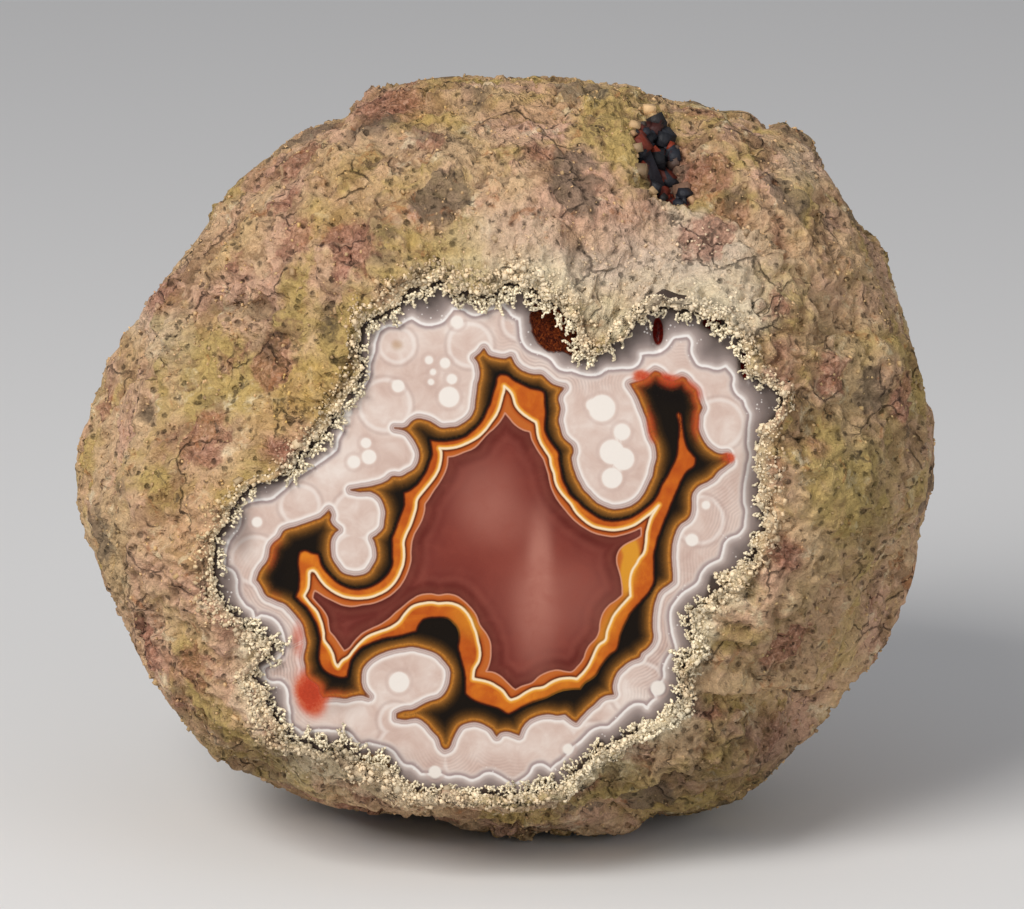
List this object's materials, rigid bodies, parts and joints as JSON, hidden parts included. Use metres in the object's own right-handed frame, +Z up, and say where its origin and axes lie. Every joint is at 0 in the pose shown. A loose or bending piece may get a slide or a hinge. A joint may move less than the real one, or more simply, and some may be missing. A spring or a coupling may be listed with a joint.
{
  "type": "agate nodule",
  "caption": "Rounded natural stone with a rough ochre rind and a flat window in its front that shows the banded agate inside; rests upright on a small flat spot.",
  "frame": {"origin": "centre of the stone's box at floor height, on the plane of its flat foot", "axes": "+X along the stone's longest side, to the right as the window is faced; -Y the way the window faces; +Z up"},
  "size_m": [0.094, 0.0744, 0.0834],
  "materials": {
    "rind": "rough, matt, granular weathered rind in tan and ochre brown",
    "agate": "smooth, glossy banded agate in milky white, orange, near black and maroon"
  },
  "bodies": {
    "root": {"agate_nodule": "rind"}
  },
  "joints": []
}
